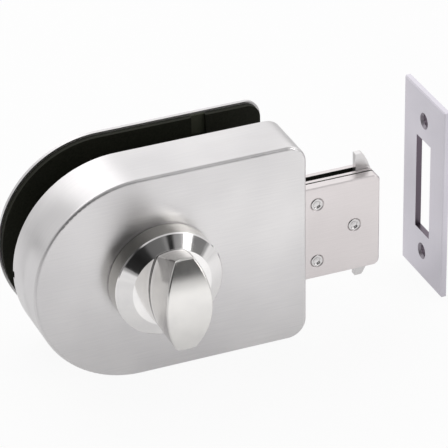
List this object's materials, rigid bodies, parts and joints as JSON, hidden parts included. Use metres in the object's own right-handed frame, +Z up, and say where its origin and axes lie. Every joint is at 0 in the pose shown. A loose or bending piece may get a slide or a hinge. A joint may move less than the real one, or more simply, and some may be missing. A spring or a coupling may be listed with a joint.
{
  "type": "glass door lock",
  "caption": "D-shaped clamp-on lock for a frameless glass door: thumb-turn, sliding bolt with two swing-out hooks, and a strike plate for the opposite side.",
  "frame": {"origin": "thumb-turn axis where it meets the front face of the glass", "axes": "+X towards the strike, along the bolt's travel; +Y back through the glass, along the thumb-turn's axis; +Z up the door"},
  "size_m": [0.1425, 0.0605, 0.07],
  "materials": {
    "cover_steel": "satin brushed stainless steel",
    "gasket_rubber": "matte black rubber",
    "boss_steel": "turned stainless steel",
    "nylon": "natural nylon",
    "dark_screw": "black oxide steel",
    "plated_steel": "zinc-plated steel",
    "spring_steel": "bright hardened steel",
    "bolt_steel": "fine satin stainless steel",
    "screw_steel": "bright stainless steel",
    "hook_steel": "cast and polished stainless steel",
    "polished_steel": "polished stainless steel",
    "strike_steel": "satin stainless steel"
  },
  "bodies": {
    "case": {"front_cover": "cover_steel", "front_gasket": "gasket_rubber", "rear_gasket": "gasket_rubber", "rear_plate": "cover_steel", "clamp_bosses": "boss_steel", "glass_sleeves": "nylon", "clamp_screws": "dark_screw", "base_plate": "plated_steel", "cover_clips": "spring_steel", "guide_plate": "plated_steel", "upper_guide_rail": "plated_steel", "lower_guide_rail": "plated_steel", "case_pillars": "plated_steel", "case_lid": "plated_steel", "case_screws": "dark_screw", "front_bush": "nylon", "rear_bush": "nylon", "detent_ball": "spring_steel", "detent_spring": "spring_steel", "strike_plate": "strike_steel"},
    "turn": {"thumb_turn": "polished_steel", "knob_grub_screw": "dark_screw", "spindle": "plated_steel", "retaining_ring": "spring_steel", "pinion": "plated_steel"},
    "bolt": {"bolt_front_plate": "bolt_steel", "bolt_middle_plate": "bolt_steel", "bolt_rack": "bolt_steel", "rack_rivets": "plated_steel", "bolt_back_plate": "bolt_steel", "spacer_bushes": "plated_steel", "bolt_screws": "screw_steel"},
    "hook_up": {"upper_hook": "hook_steel", "upper_follower_pin": "spring_steel"},
    "hook_down": {"lower_hook": "hook_steel", "lower_follower_pin": "spring_steel"}
  },
  "joints": [
    {"name": "thumb_turn", "type": "hinge", "parent": "case", "child": "turn", "pos_m": [0, 0, 0], "axis": [0, 1, 0], "range_deg": [0, 180]},
    {"name": "bolt_slide", "type": "slide", "parent": "case", "child": "bolt", "axis": [1, 0, 0], "range_m": [-0.0275, 0]},
    {"name": "upper_hook_swing", "type": "hinge", "parent": "bolt", "child": "hook_up", "pos_m": [0.0547, 0, 0.01035], "axis": [0, 1, 0], "range_deg": [0, 24.01]},
    {"name": "lower_hook_swing", "type": "hinge", "parent": "bolt", "child": "hook_down", "pos_m": [0.0547, 0, -0.01035], "axis": [0, -1, 0], "range_deg": [0, 24.01]}
  ],
  "couplings": [
    {"joint": "bolt_slide", "follows": "thumb_turn", "m_per_rad": -0.00875},
    {"joint": "upper_hook_swing", "follows": "thumb_turn", "ratio": 0.13333},
    {"joint": "lower_hook_swing", "follows": "thumb_turn", "ratio": 0.13333}
  ]
}
